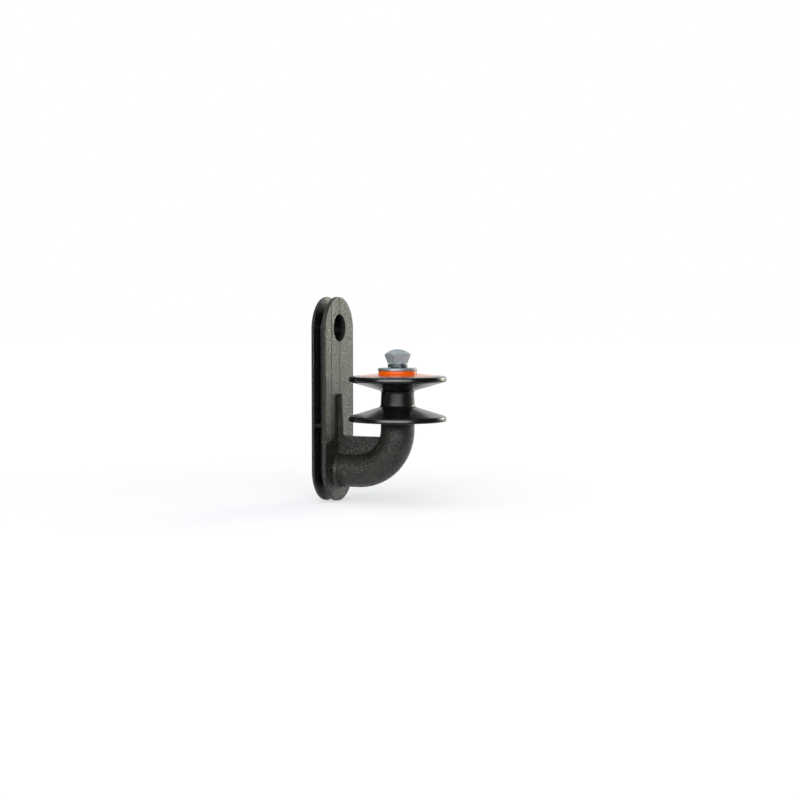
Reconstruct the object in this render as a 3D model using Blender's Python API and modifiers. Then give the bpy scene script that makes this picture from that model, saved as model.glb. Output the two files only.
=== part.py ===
"""Corner fence insulator: a bracket with an elbow arm that carries a spinning grooved roller.

Metres, +Z up. The plate's flat back face lies on x = 0, centred on the origin, and
the arm reaches out along +X. The roller turns about a vertical axis above the arm's end.
"""
from math import acos, atan2, cos, pi, radians, sin, sqrt

import bmesh
import bpy
from mathutils import Matrix

# Clearances
CONTACT_GAP = 0.0003        # between pieces that rest on each other
RUNNING_GAP = 0.0003        # between the roller and the bush it turns on
EMBED = 0.001               # how far shapes of one moulding run into each other

# Plate with rounded ends, and the groove round its edge
PLATE_HEIGHT = 0.0925
PLATE_WIDTH = 0.030
BACK_FLANGE = 0.0013
GROOVE_WIDTH = 0.0038
FRONT_FLANGE = 0.0019
GROOVE_DEPTH = 0.0064
FRONT_ROUNDING = 0.0005
BACK_ROUNDING = 0.0003
CROSS_RIB_DROP = 0.0115     # below the plate's centre
CROSS_RIB_THICKNESS = 0.0018
CROSS_RIB_INSET = 0.0005    # in from the plate's edge

# Stepped hole for fixing the plate
SCREW_DROP = 0.014          # below the plate's top
SCREW_DIAMETER = 0.0065
ACCESS_DIAMETER = 0.012
SEAT_THICKNESS = 0.0028

# Elbow arm and the web inside it
ARM_DIAMETER = 0.0152
ARM_DROP = 0.0328           # from the groove's middle down to the arm's level leg
BEND_RADIUS = 0.019
ROOT_FLARE = 0.0015
WEB_THICKNESS = 0.004
WEB_EDGE_DROP = 0.0035      # web's free edge below the start of the bend
RIB_RISE = 0.0192           # rib's top above the web's free edge
RIB_TIP = 0.002             # rib's height off the plate at its top
RIB_FOOT = 0.0026           # and where it runs into the web
RIB_FILLET = 0.0015

# Roller
ROPE_HEIGHT = 0.0006        # groove's middle above the plate's centre
ROLLER_DIAMETER = 0.044
ROLLER_HEIGHT = 0.020
RIM_TO_PLATE = 0.0065
RIM_THICKNESS = 0.0022
RIM_ROUNDING = 0.0009
CORE_DIAMETER = 0.0148
CORE_LAND = 0.0064          # height of the core between the two cones
CORE_FILLET = 0.0025
HUB_DIAMETER = 0.019
UNDERCUT_DEPTH = 0.0015     # ring-shaped hollow under the lower flange
UNDERCUT_RIM = 0.0028
RING_RISE = 0.0004          # top face's rise from the rim to the disc

# Bush: disc, collar and the tube that the roller turns on
DISC_DIAMETER = 0.035
DISC_EDGE = 0.001
DISC_RISE = 0.001
COLLAR_DIAMETER = 0.0175
COLLAR_HEIGHT = 0.0009
COLLAR_FILLET = 0.0004
TUBE_DIAMETER = 0.010

# Fasteners
BOLT_DIAMETER = 0.006
BOLT_LENGTH = 0.035
BOLT_TIP_CHAMFER = 0.0006
HEAD_TOP_CORNERS = 0.0120   # across corners at the dome's edge
HEAD_FOOT_CORNERS = 0.0089  # across corners at the bottom
HEAD_SIDE_HEIGHT = 0.0039
HEAD_DOME_HEIGHT = 0.0025
HEAD_TURN = radians(4)      # how the tightened head came to rest
WASHER_DIAMETER = 0.0176
WASHER_THICKNESS = 0.0012
SPRING_DIAMETER = 0.0088
SPRING_THICKNESS = 0.0012
SPRING_RISE = 0.0002
SPRING_GAP = radians(14)
SPRING_SPLIT = radians(-48)  # where the split ring's opening points
INSERT_DIAMETER = 0.009
INSERT_LENGTH = 0.011
INSERT_GROOVE = 0.0005
INSERT_SINK = 0.0003        # insert's top below the arm's end
TIP_CLEARANCE = 0.0005

# Facets
TURN_STEPS = 56
SMALL_STEPS = 40
BEND_STEPS = 12
END_STEPS = 24
TUBE_RESOLUTION = 12        # gives 28 sides

# Places that follow from the sizes
plate_depth = BACK_FLANGE + GROOVE_WIDTH + FRONT_FLANGE
roller_x = plate_depth + RIM_TO_PLATE + ROLLER_DIAMETER / 2
roller_top = ROPE_HEIGHT + ROLLER_HEIGHT / 2
roller_bottom = ROPE_HEIGHT - ROLLER_HEIGHT / 2
arm_top = roller_bottom - CONTACT_GAP
arm_z = ROPE_HEIGHT - ARM_DROP
bend_z = arm_z + BEND_RADIUS
web_z = bend_z - WEB_EDGE_DROP
screw_z = PLATE_HEIGHT / 2 - SCREW_DROP
ring_top = roller_top + RING_RISE
disc_bottom = ring_top - DISC_EDGE
disc_seat = disc_bottom - RUNNING_GAP
collar_foot = ring_top + DISC_RISE
collar_top = collar_foot + COLLAR_HEIGHT
tube_bottom = arm_top + CONTACT_GAP
washer_bottom = collar_top + CONTACT_GAP
washer_top = washer_bottom + WASHER_THICKNESS
spring_bottom = washer_top + CONTACT_GAP
spring_top = spring_bottom + SPRING_THICKNESS + SPRING_RISE
head_bottom = spring_top + CONTACT_GAP
head_shoulder = head_bottom + HEAD_SIDE_HEIGHT
head_top = head_shoulder + HEAD_DOME_HEIGHT
bolt_tip = head_bottom - BOLT_LENGTH
insert_top = arm_top - INSERT_SINK
insert_bottom = insert_top - INSERT_LENGTH
bolt_bore = BOLT_DIAMETER / 2 + CONTACT_GAP

PLATE_AXES = Matrix(((0, 0, 1), (1, 0, 0), (0, 1, 0))).to_4x4()   # outline in YZ, thickness along X
WEB_AXES = Matrix(((1, 0, 0), (0, 0, -1), (0, 1, 0))).to_4x4()    # outline in XZ, thickness along Y


def start_scene():
    for old in list(bpy.data.objects):
        bpy.data.objects.remove(old, do_unlink=True)
    made = []
    for name in ("fence_insulator", "cutters"):
        made.append(bpy.data.collections.new(name))
        bpy.context.scene.collection.children.link(made[-1])
    return made


def material(name, colour, roughness, metallic=0.0):
    made = bpy.data.materials.new(name)
    made.use_nodes = True
    shader = made.node_tree.nodes["Principled BSDF"]
    shader.inputs["Base Color"].default_value = (*colour, 1.0)
    shader.inputs["Roughness"].default_value = roughness
    shader.inputs["Metallic"].default_value = metallic
    return made


def add_part(name, data, finish, place=Matrix()):
    made = bpy.data.objects.new(name, data)
    parts.objects.link(made)
    made.matrix_world = place
    data.materials.append(finish)
    return made


def add_cutter(name, data, place=Matrix()):
    made = bpy.data.objects.new(name, data)
    cutters.objects.link(made)
    made.matrix_world = place
    made.hide_render = True
    made.display_type = "WIRE"
    return made


def boolean(target, tool, operation):
    step = target.modifiers.new(tool.name, "BOOLEAN")
    step.operation = operation
    step.object = tool


def smooth(data):
    data.shade_smooth()
    data.set_sharp_from_angle(angle=radians(35))


def curve_to_mesh(curve, name, place):
    holder = bpy.data.objects.new(name + "_curve", curve)
    cutters.objects.link(holder)
    holder.matrix_world = place
    view = bpy.context.evaluated_depsgraph_get()
    data = bpy.data.meshes.new_from_object(holder.evaluated_get(view))
    data.name = name
    bpy.data.objects.remove(holder, do_unlink=True)
    work = bmesh.new()
    work.from_mesh(data)
    bmesh.ops.remove_doubles(work, verts=work.verts, dist=0.000005)
    work.to_mesh(data)
    work.free()
    return data


def poly_curve(name, points, flat, closed):
    curve = bpy.data.curves.new(name, "CURVE")
    curve.dimensions = "2D" if flat else "3D"
    line = curve.splines.new("POLY")
    line.points.add(len(points) - 1)
    for knot, point in zip(line.points, points):
        knot.co = (*point, 1.0)
    line.use_cyclic_u = closed
    return curve


def flat_solid(name, outline, thickness, middle, axes):
    curve = poly_curve(name, [(u, v, 0.0) for u, v in outline], flat=True, closed=True)
    curve.fill_mode = "BOTH"
    curve.extrude = thickness / 2
    place = Matrix.Translation(middle) @ axes
    return add_cutter(name, curve_to_mesh(curve, name, place), place)


def arc(centre_r, centre_z, radius, start, end, steps):
    swing = end - start
    return [(centre_r + radius * cos(start + swing * i / steps),
             centre_z + radius * sin(start + swing * i / steps)) for i in range(steps + 1)]


def turned_mesh(name, profile):
    data = bpy.data.meshes.new(name)
    count = len(profile)
    edges = [(i, (i + 1) % count) for i in range(count)]
    data.from_pydata([(r, 0.0, z) for r, z in profile], edges, [])
    return data


def turn(made, steps):
    screw = made.modifiers.new("turn", "SCREW")
    screw.steps = steps
    screw.render_steps = steps
    screw.use_merge_vertices = True
    screw.merge_threshold = 0.00001
    return made


def cylinder(radius, low, high, sides=SMALL_STEPS):
    data = bpy.data.meshes.new("cylinder")
    work = bmesh.new()
    bmesh.ops.create_cone(work, cap_ends=True, segments=sides, radius1=radius, radius2=radius,
                          depth=high - low, matrix=Matrix.Translation((0, 0, (low + high) / 2)))
    work.to_mesh(data)
    work.free()
    return data


def along_x(y, z):
    return Matrix.Translation((0, y, z)) @ Matrix.Rotation(pi / 2, 4, "Y")


def on_axis(z=0.0):
    return Matrix.Translation((roller_x, 0, z))


def stadium(width, height):
    radius = width / 2
    rise = height / 2 - radius
    return (arc(0, rise, radius, 0, pi, END_STEPS)
            + arc(0, -rise, radius, pi, 2 * pi, END_STEPS))


def rounded(made, width):
    bevel = made.modifiers.new("rounding", "BEVEL")
    bevel.width = width
    bevel.segments = 2
    bevel.limit_method = "ANGLE"
    bevel.angle_limit = radians(60)
    return made


def plate_flange(name, low, high, rounding):
    flange = flat_solid(name, stadium(PLATE_WIDTH, PLATE_HEIGHT), high - low,
                        ((low + high) / 2, 0, 0), PLATE_AXES)
    return rounded(flange, rounding)


def plate_core():
    inset = 2 * GROOVE_DEPTH
    low = BACK_FLANGE / 2
    high = plate_depth - FRONT_FLANGE / 2
    return flat_solid("core", stadium(PLATE_WIDTH - inset, PLATE_HEIGHT - inset), high - low,
                      ((low + high) / 2, 0, 0), PLATE_AXES)


def cross_rib():
    reach = PLATE_WIDTH / 2 - CROSS_RIB_INSET
    half = CROSS_RIB_THICKNESS / 2
    low = BACK_FLANGE / 2
    high = plate_depth - FRONT_FLANGE / 2
    outline = [(-reach, -half), (reach, -half), (reach, half), (-reach, half)]
    return flat_solid("cross_rib", outline, high - low,
                      ((low + high) / 2, 0, -CROSS_RIB_DROP), PLATE_AXES)


def elbow():
    bend_x = roller_x - BEND_RADIUS
    route = [(plate_depth - EMBED, 0, arm_z)]
    for i in range(BEND_STEPS + 1):
        swing = pi / 2 * i / BEND_STEPS
        route.append((bend_x + BEND_RADIUS * sin(swing), 0, bend_z - BEND_RADIUS * cos(swing)))
    route.append((roller_x, 0, arm_top))
    curve = poly_curve("elbow", route, flat=False, closed=False)
    curve.bevel_depth = ARM_DIAMETER / 2
    curve.bevel_resolution = TUBE_RESOLUTION
    curve.use_fill_caps = True
    return add_cutter("elbow", curve_to_mesh(curve, "elbow", Matrix()))


def arm_root():
    radius = ARM_DIAMETER / 2
    inside = plate_depth - EMBED
    face = plate_depth
    profile = [(0, face + ROOT_FLARE), (radius - EMBED, face + ROOT_FLARE)]
    profile += arc(radius + ROOT_FLARE, face + ROOT_FLARE, ROOT_FLARE, pi, 1.5 * pi, 4)
    profile += [(radius + ROOT_FLARE, inside), (0, inside)]
    root = add_cutter("arm_root", turned_mesh("arm_root", profile), along_x(0, arm_z))
    return turn(root, SMALL_STEPS)


def web():
    inside = plate_depth - EMBED
    foot = plate_depth + RIB_FOOT
    outline = [(inside, web_z + RIB_RISE), (plate_depth + RIB_TIP, web_z + RIB_RISE)]
    outline += arc(foot + RIB_FILLET, web_z + RIB_FILLET, RIB_FILLET, pi, 1.5 * pi, 6)
    outline += [(roller_x, web_z), (roller_x - BEND_RADIUS, arm_z), (inside, arm_z)]
    return flat_solid("web", outline, WEB_THICKNESS, (0, 0, 0), WEB_AXES)


def make_bracket():
    inner = plate_depth - FRONT_FLANGE
    back = plate_flange("back_flange", 0, BACK_FLANGE, BACK_ROUNDING)
    body = add_part("bracket", back.data.copy(), black_textured, back.matrix_world.copy())
    rounded(body, BACK_ROUNDING)
    bpy.data.objects.remove(back, do_unlink=True)
    front = plate_flange("front_flange", inner, plate_depth, FRONT_ROUNDING)
    for tool in (plate_core(), front, cross_rib(), elbow(), arm_root(), web()):
        boolean(body, tool, "UNION")
    bore_bottom = min(insert_bottom, bolt_tip) - TIP_CLEARANCE
    holes = (
        ("screw_hole", SCREW_DIAMETER / 2, -EMBED, plate_depth, along_x(0, screw_z)),
        ("access_hole", ACCESS_DIAMETER / 2, SEAT_THICKNESS, plate_depth + EMBED, along_x(0, screw_z)),
        ("insert_bore", INSERT_DIAMETER / 2 + CONTACT_GAP, bore_bottom, arm_top + EMBED, on_axis()),
    )
    for name, radius, low, high, place in holes:
        boolean(body, add_cutter(name, cylinder(radius, low, high), place), "DIFFERENCE")
    smooth(body.data)


def groove_half():
    """Upper half of the groove's side: round the rim, down the cone and round into the core."""
    core = CORE_DIAMETER / 2
    edge = ROLLER_DIAMETER / 2 - RIM_ROUNDING
    shelf = ROLLER_HEIGHT / 2 - RIM_THICKNESS
    run = edge - core
    rise = shelf - CORE_LAND / 2
    tangent = CORE_FILLET * (sqrt(run * run + rise * rise) - rise) / run
    side = arc(edge, ROLLER_HEIGHT / 2 - RIM_ROUNDING, RIM_ROUNDING, pi / 2, 0, 3)
    side += arc(edge, shelf + RIM_ROUNDING, RIM_ROUNDING, 0, -pi / 2, 3)
    side += arc(core + CORE_FILLET, CORE_LAND / 2 - tangent, CORE_FILLET, atan2(run, -rise), pi, 5)
    return side


def make_roller():
    bore = TUBE_DIAMETER / 2 + RUNNING_GAP
    recess = DISC_DIAMETER / 2 + RUNNING_GAP
    half = ROLLER_HEIGHT / 2
    seat = disc_seat - ROPE_HEIGHT
    hub = HUB_DIAMETER / 2
    skirt = ROLLER_DIAMETER / 2 - UNDERCUT_RIM
    profile = [(bore, seat), (recess, seat), (recess, half + RING_RISE)]
    upper_side = groove_half()
    profile += upper_side + [(r, -z) for r, z in reversed(upper_side)]
    profile += [(skirt, -half), (skirt, UNDERCUT_DEPTH - half), (hub, UNDERCUT_DEPTH - half),
                (hub, -half), (bore, -half)]
    roller = add_part("roller", turned_mesh("roller", profile), black_gloss, on_axis(ROPE_HEIGHT))
    turn(roller, TURN_STEPS)


def make_bush():
    collar = COLLAR_DIAMETER / 2
    disc = DISC_DIAMETER / 2
    tube = TUBE_DIAMETER / 2
    profile = [(bolt_bore, collar_top), (collar, collar_top)]
    profile += arc(collar + COLLAR_FILLET, collar_foot + COLLAR_FILLET, COLLAR_FILLET, pi, 1.5 * pi, 3)
    profile += [(disc, ring_top), (disc, disc_bottom), (tube, disc_bottom),
                (tube, tube_bottom), (bolt_bore, tube_bottom)]
    bush = add_part("bearing_bush", turned_mesh("bearing_bush", profile), orange, on_axis())
    turn(bush, TURN_STEPS)


def make_insert():
    outer = INSERT_DIAMETER / 2
    waist = outer - INSERT_GROOVE
    third = INSERT_LENGTH / 3
    profile = [(bolt_bore, insert_top), (outer, insert_top), (outer, insert_top - third),
               (waist, insert_top - third), (waist, insert_bottom + third),
               (outer, insert_bottom + third), (outer, insert_bottom), (bolt_bore, insert_bottom)]
    insert = add_part("threaded_insert", turned_mesh("threaded_insert", profile), brass, on_axis())
    turn(insert, SMALL_STEPS)


def make_flat_washer():
    outer = WASHER_DIAMETER / 2
    profile = [(bolt_bore, washer_top), (outer, washer_top), (outer, washer_bottom),
               (bolt_bore, washer_bottom)]
    washer = add_part("flat_washer", turned_mesh("flat_washer", profile), zinc, on_axis())
    turn(washer, TURN_STEPS)


def make_spring_washer():
    outer = SPRING_DIAMETER / 2
    swing = 2 * pi - SPRING_GAP
    data = bpy.data.meshes.new("spring_washer")
    work = bmesh.new()
    corners = [(bolt_bore, spring_bottom), (outer, spring_bottom),
               (outer, spring_bottom + SPRING_THICKNESS), (bolt_bore, spring_bottom + SPRING_THICKNESS)]
    section = work.faces.new([work.verts.new((r, 0, z)) for r, z in corners])
    bmesh.ops.spin(work, geom=[section], cent=(0, 0, 0), axis=(0, 0, 1), angle=swing,
                   steps=SMALL_STEPS, dvec=(0, 0, SPRING_RISE / SMALL_STEPS))
    bmesh.ops.recalc_face_normals(work, faces=work.faces)
    work.to_mesh(data)
    work.free()
    place = on_axis() @ Matrix.Rotation(SPRING_SPLIT + SPRING_GAP / 2, 4, "Z")
    add_part("spring_washer", data, zinc_dark, place)


def head_dome():
    corner = HEAD_TOP_CORNERS / 2
    radius = (corner ** 2 + HEAD_DOME_HEIGHT ** 2) / (2 * HEAD_DOME_HEIGHT)
    reach = (corner + radius) / 2
    profile = arc(0, head_top - radius, radius, pi / 2, acos(reach / radius), 10)
    profile += [(reach, head_bottom - EMBED), (0, head_bottom - EMBED)]
    return turn(add_cutter("head_dome", turned_mesh("head_dome", profile), on_axis()), TURN_STEPS)


def bolt_shank():
    radius = BOLT_DIAMETER / 2
    inside = head_bottom + EMBED
    profile = [(0, inside), (radius, inside), (radius, bolt_tip + BOLT_TIP_CHAMFER),
               (radius - BOLT_TIP_CHAMFER, bolt_tip), (0, bolt_tip)]
    return turn(add_cutter("shank", turned_mesh("shank", profile), on_axis()), SMALL_STEPS)


def make_bolt():
    height = HEAD_SIDE_HEIGHT + HEAD_DOME_HEIGHT
    foot = HEAD_FOOT_CORNERS / 2
    flare = (HEAD_TOP_CORNERS / 2 - foot) / HEAD_SIDE_HEIGHT
    data = bpy.data.meshes.new("hex_bolt")
    work = bmesh.new()
    bmesh.ops.create_cone(work, cap_ends=True, segments=6, radius1=foot, radius2=foot + flare * height,
                          depth=height, matrix=Matrix.Translation((0, 0, head_bottom + height / 2)))
    bmesh.ops.rotate(work, verts=work.verts, matrix=Matrix.Rotation(HEAD_TURN, 3, "Z"))
    work.to_mesh(data)
    work.free()
    bolt = add_part("hex_bolt", data, zinc, on_axis())
    boolean(bolt, head_dome(), "INTERSECT")
    boolean(bolt, bolt_shank(), "UNION")


parts, cutters = start_scene()
black_textured = material("black_textured_nylon", (0.012, 0.012, 0.011), 0.5)
black_gloss = material("black_gloss_nylon", (0.009, 0.009, 0.009), 0.25)
orange = material("orange_acetal", (0.80, 0.09, 0.004), 0.35)
zinc = material("zinc_plated_steel", (0.55, 0.57, 0.60), 0.35, 1.0)
zinc_dark = material("spring_steel", (0.22, 0.23, 0.24), 0.4, 1.0)
brass = material("brass", (0.62, 0.43, 0.16), 0.35, 1.0)
make_bracket()
make_roller()
make_bush()
make_insert()
make_flat_washer()
make_spring_washer()
make_bolt()
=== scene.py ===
from math import cos, pi, radians, sin

import bmesh
import bpy
from mathutils import Matrix, Vector


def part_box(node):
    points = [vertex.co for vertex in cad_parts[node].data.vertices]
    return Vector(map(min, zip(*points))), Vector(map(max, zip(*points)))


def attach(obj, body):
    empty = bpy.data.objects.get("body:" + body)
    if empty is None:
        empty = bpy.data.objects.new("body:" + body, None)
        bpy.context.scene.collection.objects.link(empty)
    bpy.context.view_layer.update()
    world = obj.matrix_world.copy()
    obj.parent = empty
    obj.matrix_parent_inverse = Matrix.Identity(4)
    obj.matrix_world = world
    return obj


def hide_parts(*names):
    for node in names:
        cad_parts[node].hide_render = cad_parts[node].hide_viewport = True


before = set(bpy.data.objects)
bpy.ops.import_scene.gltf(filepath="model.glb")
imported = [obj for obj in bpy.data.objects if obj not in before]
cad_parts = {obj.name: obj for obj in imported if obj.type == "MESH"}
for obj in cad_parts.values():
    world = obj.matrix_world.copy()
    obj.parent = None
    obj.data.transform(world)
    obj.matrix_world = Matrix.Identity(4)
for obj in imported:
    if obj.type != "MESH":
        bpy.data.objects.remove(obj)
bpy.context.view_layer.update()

mm = 0.001  # sizes of pieces and finishes below are in millimetres, angles in degrees
rollerLow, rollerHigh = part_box("roller")
axisX = (rollerLow.x + rollerHigh.x) / 2  # everything on the bolt is turned about this upright line
print("frame loaded, roller axis at", round(axisX / mm, 2), "mm")


def linear(hexColour):  # sRGB hex to linear
    made = []
    for i in (1, 3, 5):
        part = int(hexColour[i:i + 2], 16) / 255
        made.append(part / 12.92 if part <= 0.04045 else ((part + 0.055) / 1.055) ** 2.4)
    return (*made, 1.0)


def addNode(tree, kind, settings, links=None):
    node = tree.nodes.new(kind)
    for key, value in settings.items():
        if key == "stops":
            for stop, (place, shade) in zip(node.color_ramp.elements, value):
                stop.position = place
                stop.color = shade
        elif isinstance(key, int) or key in node.inputs:  # a whole number picks a socket by its place
            node.inputs[key].default_value = value
        else:
            setattr(node, key, value)
    for socket, (source, output) in (links or {}).items():
        tree.links.new(source.outputs[output], node.inputs[socket])
    return node


def startFinish(name, settings):
    finish = bpy.data.materials.new(name)
    finish.use_nodes = True
    shader = finish.node_tree.nodes["Principled BSDF"]
    for socket, value in settings.items():
        shader.inputs[socket].default_value = value
    place = addNode(finish.node_tree, "ShaderNodeTexCoord", {})
    return finish, finish.node_tree, shader, place


def toneAndGloss(tree, look, pattern):
    # colour and roughness follow the same pattern
    low, high = look["toneSpan"]
    tone = addNode(tree, "ShaderNodeValToRGB",
                   {"stops": [(low, linear(look["shade"])), (high, linear(look["lift"]))]}, {"Fac": pattern})
    low, high = look["roughSpan"]
    first, last = look["rough"]
    gloss = addNode(tree, "ShaderNodeMapRange",
                    {"From Min": low, "From Max": high, "To Min": first, "To Max": last}, {"Value": pattern})
    return (tone, "Color"), (gloss, "Result")


def connect(tree, shader, tone, dull, bump):
    for socket, (source, output) in (("Base Color", tone), ("Roughness", dull), ("Normal", (bump, "Normal"))):
        tree.links.new(source.outputs[output], shader.inputs[socket])


# Black nylon moulded in a spark-eroded tool: a dull, pebbled skin that goes grey where light skims it, with
# pale flecks painted in as glints
texturedNylon = {"shade": "#080807", "lift": "#3e4137", "toneSpan": (0.54, 0.82),
                 "rough": (0.52, 0.16), "roughSpan": (0.4, 0.85),
                 "grain": 0.6, "pebble": 0.34, "mottle": 3.2, "mottleShare": 0.25,
                 # the slide keys place the groove: smooth walls, painted dark as shade
                 "slideAndShadeX": 3.2, "slideAndShadeHalf": 1.8, "slideAndShadeBlend": 0.15, "slideRough": 0.3}


def makeTexturedNylon(look):
    finish, tree, shader, place = startFinish("black nylon, spark-textured moulding", {"IOR": 1.53})
    onPiece = {"Vector": (place, "Object")}
    # real grain is nearer 0.3 mm, drawn at about twice that so that it shows
    grain = addNode(tree, "ShaderNodeTexNoise",
                    {"Scale": 1 / (look["grain"] * mm), "Detail": 1.5, "Roughness": 0.5}, onPiece)
    mottle = addNode(tree, "ShaderNodeTexNoise", {"Scale": 1 / (look["mottle"] * mm), "Detail": 4.0}, onPiece)
    both = addNode(tree, "ShaderNodeMath", {"operation": "MULTIPLY_ADD", 1: look["mottleShare"]},
                   {0: (mottle, "Fac"), 2: (grain, "Fac")})
    # the pale end of the tone is painted glint on the pebbles, besides the grain's own tone
    tone, gloss = toneAndGloss(tree, look, (both, 0))
    # the groove's walls have no grain, as they are shaped by smooth slides; they are also painted darker, as
    # painted shade in the recess
    split = addNode(tree, "ShaderNodeSeparateXYZ", {}, onPiece)
    inward = addNode(tree, "ShaderNodeMath", {"operation": "SUBTRACT", 1: look["slideAndShadeX"] * mm},
                     {0: (split, "X")})
    offset = addNode(tree, "ShaderNodeMath", {"operation": "ABSOLUTE"}, {0: (inward, 0)})
    edge = look["slideAndShadeHalf"] * mm
    skinBeyondShade = addNode(tree, "ShaderNodeMapRange", {"From Min": edge, "From Max": edge + look["slideAndShadeBlend"] * mm},
                   {"Value": (offset, 0)})
    # the groove takes the plain dark colour: this is painted shade
    shade = addNode(tree, "ShaderNodeMix", {"data_type": "RGBA", 6: linear(look["shade"])},
                    {"Factor": (skinBeyondShade, "Result"), 7: tone})
    dull = addNode(tree, "ShaderNodeMix", {"A": look["slideRough"]}, {"Factor": (skinBeyondShade, "Result"), "B": gloss})
    bump = addNode(tree, "ShaderNodeBump", {"Distance": look["pebble"] * mm},
                   {"Strength": (skinBeyondShade, "Result"), "Height": (grain, "Fac")})
    connect(tree, shader, (shade, 2), (dull, "Result"), bump)
    return finish


# Black nylon from a polished tool: shiny on the flares and rims, rubbed to a satin band on the core
glossNylon = {"shade": "#0c0c0c", "lift": "#161615", "toneSpan": (0.5, 1.0),
              "rough": (0.16, 0.28), "roughSpan": (0.5, 1.0),
              "ring": 0.35, "ringStretch": 0.02, "ringShare": 0.5, "cloud": 6.0, "ripple": 0.02,
              "core": 8.2, "coreBlend": 1.0, "worn": 0.08}


def makeGlossNylon(look):
    finish, tree, shader, place = startFinish("black nylon, polished moulding", {"IOR": 1.53})
    onPiece = {"Vector": (place, "Object")}
    centre, stretch = (-axisX, 0, 0), look["ringStretch"]
    # polishing rings lie round the axis, so the pattern is drawn out sideways
    drawn = addNode(tree, "ShaderNodeMapping", {"Location": centre, "Scale": (stretch, stretch, 1.0)},
                    onPiece)
    rings = addNode(tree, "ShaderNodeTexNoise", {"Scale": 1 / (look["ring"] * mm), "Detail": 2.0},
                    {"Vector": (drawn, "Vector")})
    cloud = addNode(tree, "ShaderNodeTexNoise", {"Scale": 1 / (look["cloud"] * mm), "Detail": 5.0}, onPiece)
    both = addNode(tree, "ShaderNodeMath", {"operation": "MULTIPLY_ADD", 1: look["ringShare"]},
                   {0: (rings, "Fac"), 2: (cloud, "Fac")})
    tone, gloss = toneAndGloss(tree, look, (both, 0))
    flat = addNode(tree, "ShaderNodeMapping", {"Location": centre, "Scale": (1.0, 1.0, 0.0)}, onPiece)
    reach = addNode(tree, "ShaderNodeVectorMath", {"operation": "LENGTH"}, {0: (flat, "Vector")})
    core = look["core"] * mm
    worn = addNode(tree, "ShaderNodeMapRange",
                   {"From Min": core, "From Max": core + look["coreBlend"] * mm,
                    "To Min": look["worn"], "To Max": 0.0}, {"Value": (reach, "Value")})
    dull = addNode(tree, "ShaderNodeMath", {"operation": "ADD"}, {0: gloss, 1: (worn, "Result")})
    bump = addNode(tree, "ShaderNodeBump", {"Strength": 0.2, "Distance": look["ripple"] * mm},
                   {"Height": (both, 0)})
    connect(tree, shader, tone, (dull, 0), bump)
    return finish


# Orange acetal, injection moulded: slick and saturated, washing out to peach at a skimming view
orangeAcetal = {"shade": "#e85a00", "lift": "#f06804", "toneSpan": (0.35, 0.7),
                "rough": (0.10, 0.20), "roughSpan": (0.0, 1.0), "flow": 3.0, "ripple": 0.02}


def makeOrangeAcetal(look):
    finish, tree, shader, place = startFinish("orange acetal, moulded", {"IOR": 1.48})
    flow = addNode(tree, "ShaderNodeTexNoise", {"Scale": 1 / (look["flow"] * mm), "Detail": 4.0},
                   {"Vector": (place, "Object")})
    tone, gloss = toneAndGloss(tree, look, (flow, "Fac"))
    bump = addNode(tree, "ShaderNodeBump", {"Strength": 0.1, "Distance": look["ripple"] * mm},
                   {"Height": (flow, "Fac")})
    connect(tree, shader, tone, gloss, bump)
    return finish


# Zinc plating over blanked or forged steel: cool grey and softly clouded, bluer where it was passivated
zincPlate = {"shade": "#909aa0", "lift": "#b2bcc2", "rough": (0.3, 0.45),
             "bare": 0.6, "cloud": 1.6, "grit": 0.35}
bluePlate = {"shade": "#98a5ab", "lift": "#b9c6cc", "rough": (0.34, 0.5),
             "bare": 0.25, "cloud": 1.2, "grit": 0.3}
# Hardened spring steel left dark from heat treatment, and turned brass for the insert
springSteel = {"shade": "#4e5453", "lift": "#6e7574", "rough": (0.35, 0.5),
               "bare": 0.5, "cloud": 1.2, "grit": 0.3}
turnedBrass = {"shade": "#9a7434", "lift": "#c49a52", "rough": (0.25, 0.4),
               "bare": 1.0, "cloud": 2.0, "grit": 0.5}
metalSpans = {"toneSpan": (0.3, 0.75), "roughSpan": (0.0, 1.0), "pits": 0.03}


def makeMetal(name, look):
    # where a clouded film scatters some of the light, less of the metal is bare
    finish, tree, shader, place = startFinish(name, {"Metallic": look["bare"]})
    onPiece = {"Vector": (place, "Object")}
    cloud = addNode(tree, "ShaderNodeTexNoise", {"Scale": 1 / (look["cloud"] * mm), "Detail": 4.0}, onPiece)
    grit = addNode(tree, "ShaderNodeTexNoise", {"Scale": 1 / (look["grit"] * mm), "Detail": 2.0}, onPiece)
    tone, gloss = toneAndGloss(tree, {**metalSpans, **look}, (cloud, "Fac"))
    bump = addNode(tree, "ShaderNodeBump", {"Strength": 0.3, "Distance": metalSpans["pits"] * mm},
                   {"Height": (grit, "Fac")})
    connect(tree, shader, tone, gloss, bump)
    return finish


nylonSkin = makeTexturedNylon(texturedNylon)
nylonPolish = makeGlossNylon(glossNylon)
acetal = makeOrangeAcetal(orangeAcetal)
zinc = makeMetal("bright zinc plated steel", zincPlate)
blueZinc = makeMetal("blue passivated zinc plated steel", bluePlate)
darkSteel = makeMetal("hardened spring steel", springSteel)
brass = makeMetal("turned brass", turnedBrass)
print("finishes ready")


axisFoot = Vector((axisX, 0, 0))
sideways = Vector((1, 0, 0))
upwards = Vector((0, 0, 1))
mergeGap = 0.0005 * mm


def loopEdges(verts):
    members = set(verts)
    return list({edge for vert in verts for edge in vert.link_edges if edge.other_vert(vert) in members})


def soften(work, geom, size, segments=3, kind="EDGES"):
    bmesh.ops.bevel(work, geom=geom, affect=kind, offset=size * mm, segments=segments, profile=0.5,
                    material=-1)


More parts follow.
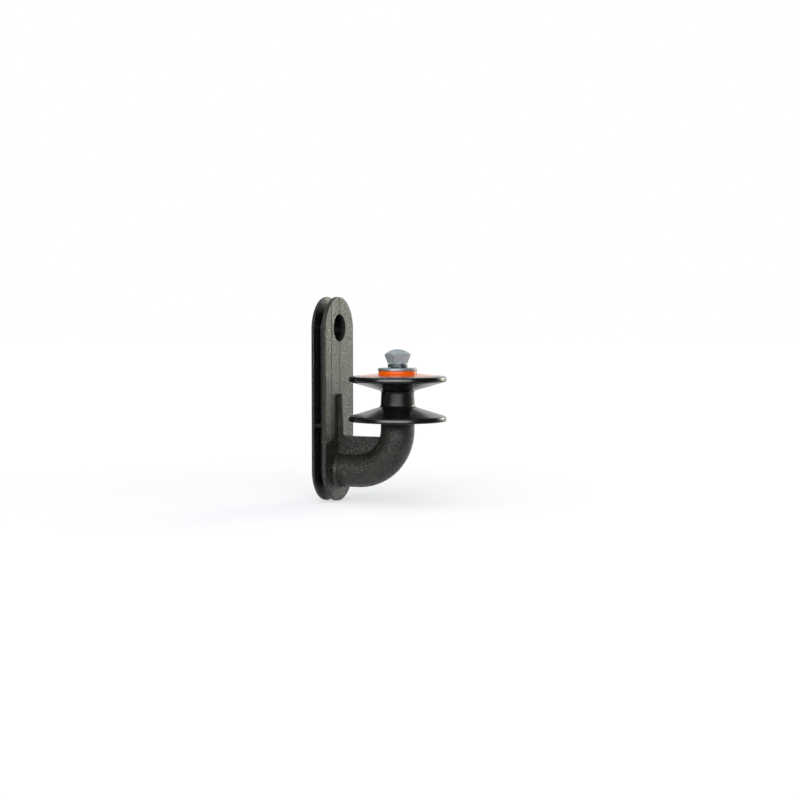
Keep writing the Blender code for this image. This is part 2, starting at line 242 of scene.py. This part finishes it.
def section(work, corners, centre, outward, along):
    # corners are (radius, height, rounding) in mm, in order round the cut section
    verts = [work.verts.new(centre + outward * r * mm + along * h * mm) for r, h, rounding in corners]
    work.faces.new(verts)
    for size in sorted({c[2] for c in corners if c[2]}):
        chosen = [v for v, c in zip(verts, corners) if c[2] == size]
        soften(work, chosen, size, segments=5, kind="VERTICES")


def turned(corners, steps, centre=axisFoot, outward=sideways, along=upwards):
    work = bmesh.new()
    section(work, corners, centre, outward, along)
    bmesh.ops.delete(work, geom=work.faces[:], context="FACES_ONLY")
    onAxis = [e for e in work.edges if all((v.co - centre).cross(along).length < mergeGap for v in e.verts)]
    bmesh.ops.delete(work, geom=onAxis, context="EDGES")
    bmesh.ops.spin(work, geom=work.verts[:] + work.edges[:], cent=centre, axis=along, angle=2 * pi,
                   steps=steps, use_merge=True)
    return work


def closeUp(work):
    bmesh.ops.remove_doubles(work, verts=work.verts[:], dist=mergeGap)
    bmesh.ops.recalc_face_normals(work, faces=work.faces[:])
    return work


def toObject(work, name):
    closeUp(work)
    data = bpy.data.meshes.new(name)
    work.to_mesh(data)
    work.free()
    made = bpy.data.objects.new(name, data)
    bpy.context.scene.collection.objects.link(made)
    return made


def combine(base, tools):
    # joins or cuts the helper shapes, keeps the result as the piece's own mesh and drops the helpers
    helpers = []
    for work, how in tools:
        helpers.append(toObject(work, "helper"))
        step = base.modifiers.new("combine", "BOOLEAN")
        step.operation = how
        step.solver = "EXACT"
        step.object = helpers[-1]
    view = bpy.context.evaluated_depsgraph_get()
    data = bpy.data.meshes.new_from_object(base.evaluated_get(view))
    base.modifiers.clear()
    base.data = data
    data.name = base.name
    for helper in helpers:
        bpy.data.objects.remove(helper, do_unlink=True)
    return base


def finishPiece(piece, finish, body, node, sharp=32):
    piece.data.materials.clear()
    piece.data.materials.append(finish)
    piece.data.shade_smooth()
    piece.data.set_sharp_from_angle(angle=radians(sharp))
    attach(piece, body)
    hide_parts(node)
    print(piece.name, "made,", len(piece.data.polygons), "faces")
    return piece


def evenShading(piece):
    step = piece.modifiers.new("even shading", "WEIGHTED_NORMAL")
    step.keep_sharp = True
    return piece


# Bracket: grooved plate with round ends, elbow arm, web and rib, all one moulding
plate = {"height": 92.5, "width": 30.0, "depth": 7.0, "backFlange": 1.3, "frontFlange": 1.9,
         "grooveDepth": 6.4, "frontRounding": 0.5, "backRounding": 0.3, "rootFillet": 0.5, "draft": 0.1,
         "embed": 1.0, "ribZ": -11.5, "ribThickness": 1.8, "ribReach": 14.5, "ribRounding": 0.25,
         "steps": 128}
hole = {"z": 32.25, "access": 6.0, "through": 3.25, "seat": 2.8, "mouth": 0.3, "overshoot": 1.0, "steps": 64}
arm = {"radius": 7.6, "z": -32.2, "bend": 19.0, "top": -9.7, "flare": 1.5, "flareSteps": 8,
       "topRounding": 0.4, "bore": 4.8, "boreEnd": -21.5, "steps": 64, "bendSteps": 28}
web = {"thickness": 4.0, "edgeZ": -16.7, "ribTopZ": 2.5, "ribTip": 9.0, "ribFoot": 9.6, "fillet": 1.5,
       "rounding": 0.4}
witness = {"width": 0.45, "depth": 0.35, "overshoot": 0.5, "ribGap": 0.2}


def stadiumLoop(work, x, inset):
    steps = plate["steps"]
    radius = (plate["width"] / 2 - inset) * mm
    rise = (plate["height"] - plate["width"]) / 2 * mm
    upright = Matrix(((0, 0, 1), (1, 0, 0), (0, 1, 0))).to_4x4()
    place = Matrix.Translation((x * mm, 0, 0)) @ upright @ Matrix.Rotation(pi / steps, 4, "Z")
    outer = radius / cos(pi / steps)  # flats, not corners, lie on the plate's sides
    verts = bmesh.ops.create_circle(work, segments=steps, radius=outer, matrix=place)["verts"]
    for side in (1, -1):
        half = [v for v in verts if v.co.z * side > 0]
        bmesh.ops.translate(work, verts=half, vec=(0, 0, rise * side))
    return loopEdges(verts)


def makePlate():
    work = bmesh.new()
    inner = plate["depth"] - plate["frontFlange"]
    draft = plate["draft"]
    stations = [(0, 0, plate["backRounding"]), (plate["backFlange"], 0, plate["backRounding"]),
                (plate["backFlange"] + draft, plate["grooveDepth"], plate["rootFillet"]),
                (inner - draft, plate["grooveDepth"], plate["rootFillet"]),
                (inner, 0, plate["backRounding"]), (plate["depth"], 0, plate["frontRounding"])]
    loops = [stadiumLoop(work, x, inset) for x, inset, rounding in stations]
    for first, second in zip(loops, loops[1:]):
        bmesh.ops.bridge_loops(work, edges=first + second)
    for end in (loops[0], loops[-1]):
        bmesh.ops.edgeloop_fill(work, edges=end)
    for edges, (x, inset, rounding) in zip(loops, stations):
        soften(work, edges, rounding, segments=4)
    return toObject(work, "bracketMoulding")


def block(low, high, rounding=0.0):
    work = bmesh.new()
    low, high = Vector(low) * mm, Vector(high) * mm
    place = Matrix.Translation((low + high) / 2) @ Matrix.Diagonal((*(high - low), 1))
    bmesh.ops.create_cube(work, size=1, matrix=place)
    if rounding:
        soften(work, work.edges[:], rounding)
    return work


def growLoop(work, edges, move, scale=1.0, centre=Vector()):
    made = bmesh.ops.extrude_edge_only(work, edges=edges)["geom"]
    verts = [g for g in made if isinstance(g, bmesh.types.BMVert)]
    bmesh.ops.translate(work, verts=verts, vec=Vector(move) * mm)
    if scale != 1.0:
        bmesh.ops.scale(work, verts=verts, vec=(scale,) * 3, space=Matrix.Translation(-centre * mm))
    return [g for g in made if isinstance(g, bmesh.types.BMEdge)]


def makeArm():
    work = bmesh.new()
    radius, z, face = arm["radius"], arm["z"], plate["depth"]
    start = Matrix.Translation(((face - plate["embed"]) * mm, 0, z * mm)) @ Matrix.Rotation(pi / 2, 4, "Y")
    wide = radius + arm["flare"]
    made = bmesh.ops.create_circle(work, cap_ends=True, segments=arm["steps"], radius=wide * mm, matrix=start)
    edges = growLoop(work, loopEdges(made["verts"]), (plate["embed"], 0, 0))
    x = face
    # fillet at the root, drawn in ring by ring
    for i in range(arm["flareSteps"]):
        swing = pi / 2 * (i + 1) / arm["flareSteps"]
        newX = face + arm["flare"] * (1 - cos(swing))
        newWide = radius + arm["flare"] * (1 - sin(swing))
        edges = growLoop(work, edges, (newX - x, 0, 0), newWide / wide, Vector((newX, 0, z)))
        x, wide = newX, newWide
    bendX = axisX / mm - arm["bend"]
    edges = growLoop(work, edges, (bendX - x, 0, 0))
    verts = list({v for e in edges for v in e.verts})
    bendCentre = Vector((bendX, 0, z + arm["bend"])) * mm
    turn = bmesh.ops.spin(work, geom=verts + edges, cent=bendCentre, axis=(0, -1, 0), angle=pi / 2,
                          steps=arm["bendSteps"])["geom_last"]
    edges = [g for g in turn if isinstance(g, bmesh.types.BMEdge)]
    edges = growLoop(work, edges, (0, 0, arm["top"] - z - arm["bend"]))
    rim = edges
    top = Vector((axisX / mm, 0, arm["top"]))
    edges = growLoop(work, edges, (0, 0, 0), arm["bore"] / radius, top)
    edges = growLoop(work, edges, (0, 0, arm["boreEnd"] - arm["top"]))
    bmesh.ops.edgeloop_fill(work, edges=edges)
    soften(work, rim, arm["topRounding"])
    return work


def makeWeb():
    work = bmesh.new()
    inside = plate["depth"] - plate["embed"]
    half = web["thickness"] / 2
    outline = [(inside, web["ribTopZ"]), (web["ribTip"], web["ribTopZ"]), (web["ribFoot"], web["edgeZ"]),
               (axisX / mm, web["edgeZ"]), (axisX / mm - arm["bend"], arm["z"]), (inside, arm["z"])]
    verts = [work.verts.new(Vector((x, -half, z)) * mm) for x, z in outline]
    work.faces.new(verts)
    ribCorner = verts[2]
    soften(work, [ribCorner], web["fillet"], segments=8, kind="VERTICES")
    made = bmesh.ops.extrude_face_region(work, geom=work.faces[:])["geom"]
    moved = [g for g in made if isinstance(g, bmesh.types.BMVert)]
    bmesh.ops.translate(work, verts=moved, vec=(0, web["thickness"] * mm, 0))
    long = [e for e in work.edges if abs(e.verts[0].co.y - e.verts[1].co.y) < mergeGap]
    soften(work, long, web["rounding"])
    return work


def makeHole():
    depth, mouth, seat = plate["depth"], hole["mouth"], hole["seat"]
    low, high = -hole["overshoot"], depth + hole["overshoot"]
    narrow, wide = hole["through"], hole["access"]
    corners = [(0, low, 0), (narrow, low, 0), (narrow, seat, 0), (wide, seat, 0), (wide, depth - mouth, 0),
               (wide + mouth, depth, 0), (wide + mouth, high, 0), (0, high, 0)]
    return turned(corners, hole["steps"], Vector((0, 0, hole["z"] * mm)), Vector((0, 1, 0)), sideways)


def makeBracket():
    piece = makePlate()
    ribHalf = plate["ribThickness"] / 2
    inner = plate["depth"] - plate["frontFlange"] / 2
    crossRib = block((plate["backFlange"] / 2, -plate["ribReach"], plate["ribZ"] - ribHalf),
                     (inner, plate["ribReach"], plate["ribZ"] + ribHalf), plate["ribRounding"])
    half, end, past = witness["width"] / 2, plate["height"] / 2, witness["overshoot"]
    holeFoot, holeTop = hole["z"] - hole["access"], hole["z"] + hole["access"]
    coreEdge = plate["grooveDepth"] - plate["width"] / 2
    low, high = plate["depth"] - witness["depth"], plate["depth"] + past
    # hairlines left by the tool's inserts: on the middle line, and over the core's near side
    lines = [block((low, -half, web["ribTopZ"] + witness["ribGap"]), (high, half, holeFoot + past)),
             block((low, -half, holeTop - past), (high, half, end + past)),
             block((low, coreEdge - half, -end), (high, coreEdge + half, end))]
    tools = [(crossRib, "UNION"), (makeArm(), "UNION"), (makeWeb(), "UNION"), (makeHole(), "DIFFERENCE")]
    combine(piece, tools + [(line, "DIFFERENCE") for line in lines])
    evenShading(piece)
    return finishPiece(piece, nylonSkin, "bracket_body", "bracket")


makeBracket()

# Roller: two flared flanges on a slightly drafted core, hollow ring under the lower one
roller = {"middle": 0.6, "radius": 22.0, "half": 10.0, "rim": 2.2, "rimDraft": 0.3, "rimRounding": 0.7,
          "core": 7.3, "coreDraft": 0.4, "coreHalf": 3.5, "coreFillet": 1.0, "bore": 5.3, "recess": 17.8,
          "recessZ": 9.7, "ringRise": 0.4, "ringEdge": 0.25, "hub": 9.5, "undercut": 1.5, "skirt": 19.2,
          "wallDraft": 0.3, "edge": 0.3, "steps": 160}


def makeRoller():
    s = roller
    mid, edge, draft = s["middle"], s["edge"], s["wallDraft"]
    top, bottom = mid + s["half"], mid - s["half"]
    fillet, rounding, rimTop = s["coreFillet"], s["rimRounding"], s["radius"] - s["rimDraft"]
    hollow = bottom + s["undercut"]
    corners = [(s["bore"], s["recessZ"], 0), (s["recess"], s["recessZ"], 0),
               (s["recess"], top + s["ringRise"], s["ringEdge"]), (rimTop, top, rounding),
               (s["radius"], top - s["rim"], rounding), (s["core"], mid + s["coreHalf"], fillet),
               (s["core"] + s["coreDraft"], mid - s["coreHalf"], fillet),
               (rimTop, bottom + s["rim"], rounding), (s["radius"], bottom, rounding),
               (s["skirt"], bottom, edge), (s["skirt"] - draft, hollow, edge),
               (s["hub"] + draft, hollow, edge), (s["hub"], bottom, edge), (s["bore"], bottom, edge)]
    piece = toObject(turned(corners, s["steps"]), "ropeRoller")
    evenShading(piece)
    return finishPiece(piece, nylonPolish, "roller_body", "roller", sharp=40)


makeRoller()

# Bush: low cone of a disc, a collar under the washer and the tube that the roller turns on
bush = {"disc": 17.5, "discBottom": 10.0, "discTop": 11.0, "discEdge": 0.25, "collar": 8.6,
        "collarTop": 13.15, "collarEdge": 0.2, "waistZ": 12.6, "waistEdge": 0.1, "foot": 8.71,
        "footZ": 11.95, "fillet": 0.4, "tube": 5.0, "tubeBottom": -9.4, "tubeEdge": 0.2, "bore": 3.3,
        "steps": 128}


def makeBush():
    s = bush
    corners = [(s["bore"], s["collarTop"], 0), (s["collar"], s["collarTop"], s["collarEdge"]),
               (s["collar"], s["waistZ"], s["waistEdge"]), (s["foot"], s["footZ"], s["fillet"]),
               (s["disc"], s["discTop"], s["discEdge"]), (s["disc"], s["discBottom"], s["discEdge"]),
               (s["tube"], s["discBottom"], s["fillet"]), (s["tube"], s["tubeBottom"], s["tubeEdge"]),
               (s["bore"], s["tubeBottom"], s["tubeEdge"])]
    piece = toObject(turned(corners, s["steps"]), "bearingBush")
    evenShading(piece)
    return finishPiece(piece, acetal, "bracket_body", "bearing_bush", sharp=40)


makeBush()

# Flat washer, blanked from sheet: one edge rolled over by the punch, the other sharp
washer = {"radius": 8.8, "bore": 3.3, "bottom": 13.2, "top": 14.4, "rolled": 0.4, "sharpEdge": 0.1,
          "steps": 96}


def makeWasher():
    s = washer
    corners = [(s["bore"], s["top"], s["sharpEdge"]), (s["radius"], s["top"], s["rolled"]),
               (s["radius"], s["bottom"], s["sharpEdge"]), (s["bore"], s["bottom"], s["sharpEdge"])]
    piece = toObject(turned(corners, s["steps"]), "flatWasher")
    evenShading(piece)
    return finishPiece(piece, zinc, "bracket_body", "flat_washer", sharp=50)


makeWasher()

# Spring washer: wire of rectangular section wound one turn, ends left a little apart
spring = {"radius": 4.4, "bore": 3.3, "bottom": 14.45, "thickness": 1.5, "rise": 0.3, "rounding": 0.15,
          "gap": 14, "split": -48, "steps": 72}


def makeSpringWasher():
    s = spring
    work = bmesh.new()
    top = s["bottom"] + s["thickness"]
    corners = [(s["bore"], s["bottom"], s["rounding"]), (s["radius"], s["bottom"], s["rounding"]),
               (s["radius"], top, s["rounding"]), (s["bore"], top, s["rounding"])]
    section(work, corners, axisFoot, sideways, upwards)
    bmesh.ops.spin(work, geom=work.faces[:], cent=axisFoot, axis=upwards, angle=radians(360 - s["gap"]),
                   steps=s["steps"], dvec=(0, 0, s["rise"] * mm / s["steps"]))
    bmesh.ops.rotate(work, verts=work.verts[:], cent=axisFoot,
                     matrix=Matrix.Rotation(radians(s["split"] + s["gap"] / 2), 3, "Z"))
    piece = toObject(work, "springWasher")
    evenShading(piece)
    return finishPiece(piece, darkSteel, "bracket_body", "spring_washer", sharp=50)


makeSpringWasher()

# Bolt: forged hexagon that flares upwards, domed on top, with a rolled thread below
bolt = {"bottom": 16.35, "foot": 4.45, "top": 6.0, "sideHeight": 3.95, "dome": 2.5, "turn": 4,
        "edge": 0.18, "edgeSteps": 3, "edgeAngle": 25,
        "neck": 4.2, "neckHeight": 1.4, "overlap": 1.0, "shank": 3.0, "shankEdge": 0.2, "root": 2.55,
        "tip": -18.6, "tipChamfer": 0.5, "pitch": 1.0, "crest": 0.06, "flank": 0.42, "sink": 0.1,
        "threadTop": 0.0, "runout": 0.4, "threadSteps": 24, "steps": 96}


def makeHead():
    s = bolt
    work = bmesh.new()
    height = s["sideHeight"] + s["dome"]
    flare = (s["top"] - s["foot"]) / s["sideHeight"]
    bmesh.ops.create_cone(work, cap_ends=True, segments=6, radius1=s["foot"] * mm,
                          radius2=(s["foot"] + flare * height) * mm, depth=height * mm,
                          matrix=Matrix.Translation((axisX, 0, (s["bottom"] + height / 2) * mm)))
    bmesh.ops.rotate(work, verts=work.verts[:], cent=axisFoot,
                     matrix=Matrix.Rotation(radians(s["turn"]), 3, "Z"))
    piece = toObject(work, "hexBolt")
    # the dome is a slice of a ball that meets the corners at the shoulder
    ball = (s["top"] ** 2 + s["dome"] ** 2) / (2 * s["dome"])
    cutter = bmesh.new()
    bmesh.ops.create_uvsphere(cutter, u_segments=s["steps"], v_segments=s["steps"], radius=ball * mm,
                              matrix=Matrix.Translation((axisX, 0, (s["bottom"] + height - ball) * mm)))
    return combine(piece, [(cutter, "INTERSECT")])


def makeThread():
    s = bolt
    work = bmesh.new()
    low = s["tip"] + s["pitch"]
    turns = (s["threadTop"] - low) / s["pitch"]
    steps = round(turns * s["threadSteps"])
    crest, flank = s["crest"] * s["pitch"], s["flank"] * s["pitch"]
    inside = s["root"] - s["sink"]
    corners = [(inside, low - flank, 0), (s["shank"], low - crest, 0), (s["shank"], low + crest, 0),
               (inside, low + flank, 0)]
    section(work, corners, axisFoot, sideways, upwards)
    bmesh.ops.spin(work, geom=work.faces[:], cent=axisFoot, axis=upwards, angle=2 * pi * turns, steps=steps,
                   dvec=(0, 0, turns * s["pitch"] * mm / steps))
    return work


def makeBolt():
    s = bolt
    piece = makeHead()
    inside, chamfer, neckTop = s["bottom"] + s["overlap"], s["tipChamfer"], s["bottom"] + s["neckHeight"]
    shank = turned([(0, inside, 0), (s["shank"], inside, 0), (s["shank"], s["threadTop"], s["shankEdge"]),
                    (s["root"], s["threadTop"] - s["runout"], 0), (s["root"], s["tip"] + chamfer, 0),
                    (s["root"] - chamfer, s["tip"], 0), (0, s["tip"], 0)], s["steps"] // 2)
    neck = turned([(0, neckTop, 0), (s["neck"], neckTop, 0), (s["neck"], s["bottom"], 0),
                   (0, s["bottom"], 0)], s["steps"])
    combine(piece, [(neck, "UNION"), (shank, "UNION"), (makeThread(), "UNION")])
    soft = piece.modifiers.new("worn edges", "BEVEL")
    soft.width = s["edge"] * mm
    soft.segments = s["edgeSteps"]
    soft.limit_method = "ANGLE"
    soft.angle_limit = radians(s["edgeAngle"])
    evenShading(piece)
    return finishPiece(piece, blueZinc, "bracket_body", "hex_bolt", sharp=40)


makeBolt()
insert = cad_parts["threaded_insert"]
insert.data.materials.clear()
insert.data.materials.append(brass)
print("all pieces made")

# Studio: white behind, a dim room in front, broad light from above, a wide soft lamp just over the
# camera and a small one behind. Lengths here are in metres, apart from floorZ
studio = {"floorZ": -46.45, "floorRadius": 6.0, "floorSteps": 96, "floorShade": "#d3d5da",
          "roomFloor": "#202020", "nearGlow": 0.47,
          "nearSpan": (0.07, 0.22), "sideSpan": (-0.10, 0.05), "fill": 0.26, "room": 0.06,
          "backdropWay": (-0.39, 0.92, 0.0), "mirrorSpan": (0.3, 0.9),
          "topStrength": 0.75, "topSpread": 80, "topAim": (20, 0, -18),
          "keyPower": 7.8, "keySize": (1.55, 0.26), "keyPlace": (0.26, -0.87, 0.26),
          "keyShade": (1.0, 1.0, 1.0), "backPower": 2.5, "backSize": (0.46, 0.36),
          "backPlace": (0.36, 0.76, 0.20), "backShade": (0.93, 1.0, 0.76)}


def makeWorld(s):
    world = bpy.data.worlds.new("studio")
    bpy.context.scene.world = world
    world.use_nodes = True
    tree = world.node_tree
    path = addNode(tree, "ShaderNodeLightPath", {})
    way = addNode(tree, "ShaderNodeTexCoord", {})
    # shiny skins see the white backdrop on its own side only, and the dim room on the camera's side
    facing = addNode(tree, "ShaderNodeVectorMath", {"operation": "DOT_PRODUCT", 1: s["backdropWay"]},
                     {0: (way, "Generated")})
    low, high = s["mirrorSpan"]
    mirrored = addNode(tree, "ShaderNodeMapRange",
                       {"From Min": low, "From Max": high, "To Min": s["room"], "To Max": 1.0},
                       {"Value": (facing, "Value")})
    shiny = addNode(tree, "ShaderNodeMix", {"A": s["fill"]},
                    {"Factor": (path, "Is Glossy Ray"), "B": (mirrored, "Result")})
    seen = addNode(tree, "ShaderNodeMath", {"operation": "MAXIMUM"},
                   {0: (path, "Is Camera Ray"), 1: (path, "Is Transmission Ray")})
    level = addNode(tree, "ShaderNodeMix", {"B": 1.0}, {"Factor": (seen, 0), "A": (shiny, "Result")})
    tree.links.new(level.outputs["Result"], tree.nodes["Background"].inputs["Strength"])
    tree.nodes["Background"].inputs["Color"].default_value = (1, 1, 1, 1)


def makeFloor(s):
    work = bmesh.new()
    bmesh.ops.create_circle(work, cap_ends=True, segments=s["floorSteps"], radius=s["floorRadius"],
                            matrix=Matrix.Translation((axisX, 0, s["floorZ"] * mm)))
    floor = toObject(work, "studioFloor")
    finish = bpy.data.materials.new("pale painted board")
    finish.use_nodes = True
    tree = finish.node_tree
    tree.nodes.remove(tree.nodes["Principled BSDF"])
    place = addNode(tree, "ShaderNodeTexCoord", {})
    # pale board with its shadow close by; further off it glows white, and is dim on the camera's side
    far = addNode(tree, "ShaderNodeVectorMath", {"operation": "LENGTH"}, {0: (place, "Object")})
    low, high = s["nearSpan"]
    near = addNode(tree, "ShaderNodeMapRange",
                   {"From Min": low, "From Max": high, "To Min": 1.0, "To Max": 0.0},
                   {"Value": (far, "Value")})
    facing = addNode(tree, "ShaderNodeVectorMath", {"operation": "DOT_PRODUCT", 1: s["backdropWay"]},
                     {0: (place, "Object")})
    low, high = s["sideSpan"]
    side = addNode(tree, "ShaderNodeMapRange", {"From Min": low, "From Max": high},
                   {"Value": (facing, "Value")})
    path = addNode(tree, "ShaderNodeLightPath", {})
    shiny = addNode(tree, "ShaderNodeMath", {"operation": "MULTIPLY"},
                    {0: (path, "Is Glossy Ray"), 1: (side, "Result")})
    direct = addNode(tree, "ShaderNodeMath", {"operation": "MAXIMUM"},
                     {0: (path, "Is Camera Ray"), 1: (path, "Is Transmission Ray")})
    seen = addNode(tree, "ShaderNodeMath", {"operation": "MAXIMUM"}, {0: (direct, 0), 1: (shiny, 0)})
    glow = addNode(tree, "ShaderNodeMapRange", {"To Min": 1.0, "To Max": s["nearGlow"]},
                   {"Value": (near, "Result")})
    level = addNode(tree, "ShaderNodeMath", {"operation": "MULTIPLY"}, {0: (seen, 0), 1: (glow, "Result")})
    shade = addNode(tree, "ShaderNodeMix",
                    {"data_type": "RGBA", 6: linear(s["roomFloor"]), 7: linear(s["floorShade"])},
                    {"Factor": (near, "Result")})
    paint = addNode(tree, "ShaderNodeBsdfDiffuse", {}, {"Color": (shade, 2)})
    light = addNode(tree, "ShaderNodeEmission", {"Color": (1, 1, 1, 1)}, {"Strength": (level, 0)})
    both = addNode(tree, "ShaderNodeAddShader", {}, {0: (paint, 0), 1: (light, 0)})
    tree.links.new(both.outputs[0], tree.nodes["Material Output"].inputs["Surface"])
    floor.data.materials.append(finish)


def softLamp(name, power, size, place, shade):
    data = bpy.data.lights.new(name, "AREA")
    data.shape = "ELLIPSE"
    data.size, data.size_y = size
    data.energy = power
    data.color = shade
    lamp = bpy.data.objects.new(name, data)
    lamp.location = place
    lamp.rotation_euler = (-lamp.location).to_track_quat("-Z", "Y").to_euler()
    lamp.visible_camera = False
    bpy.context.scene.collection.objects.link(lamp)


def makeLamps(s):
    top = bpy.data.lights.new("top", "SUN")
    top.energy = s["topStrength"]
    top.angle = radians(s["topSpread"])
    lamp = bpy.data.objects.new("top", top)
    lamp.rotation_euler = [radians(a) for a in s["topAim"]]
    bpy.context.scene.collection.objects.link(lamp)
    softLamp("key", s["keyPower"], s["keySize"], s["keyPlace"], s["keyShade"])
    softLamp("back", s["backPower"], s["backSize"], s["backPlace"], s["backShade"])


def makeCamera():
    view = {"place": (0.2964, -0.6161, 0.0348), "pitch": 2.97, "turn": 22.86, "lens": 67.5, "sensor": 36}
    data = bpy.data.cameras.new("camera")
    data.lens = view["lens"]
    data.sensor_width = view["sensor"]
    camera = bpy.data.objects.new("camera", data)
    camera.location = view["place"]
    camera.rotation_euler = (radians(90 - view["pitch"]), 0, radians(view["turn"]))
    bpy.context.scene.collection.objects.link(camera)
    bpy.context.scene.camera = camera


makeWorld(studio)
makeFloor(studio)
makeLamps(studio)
makeCamera()
bpy.context.scene.view_settings.view_transform = "Standard"
print("studio ready")
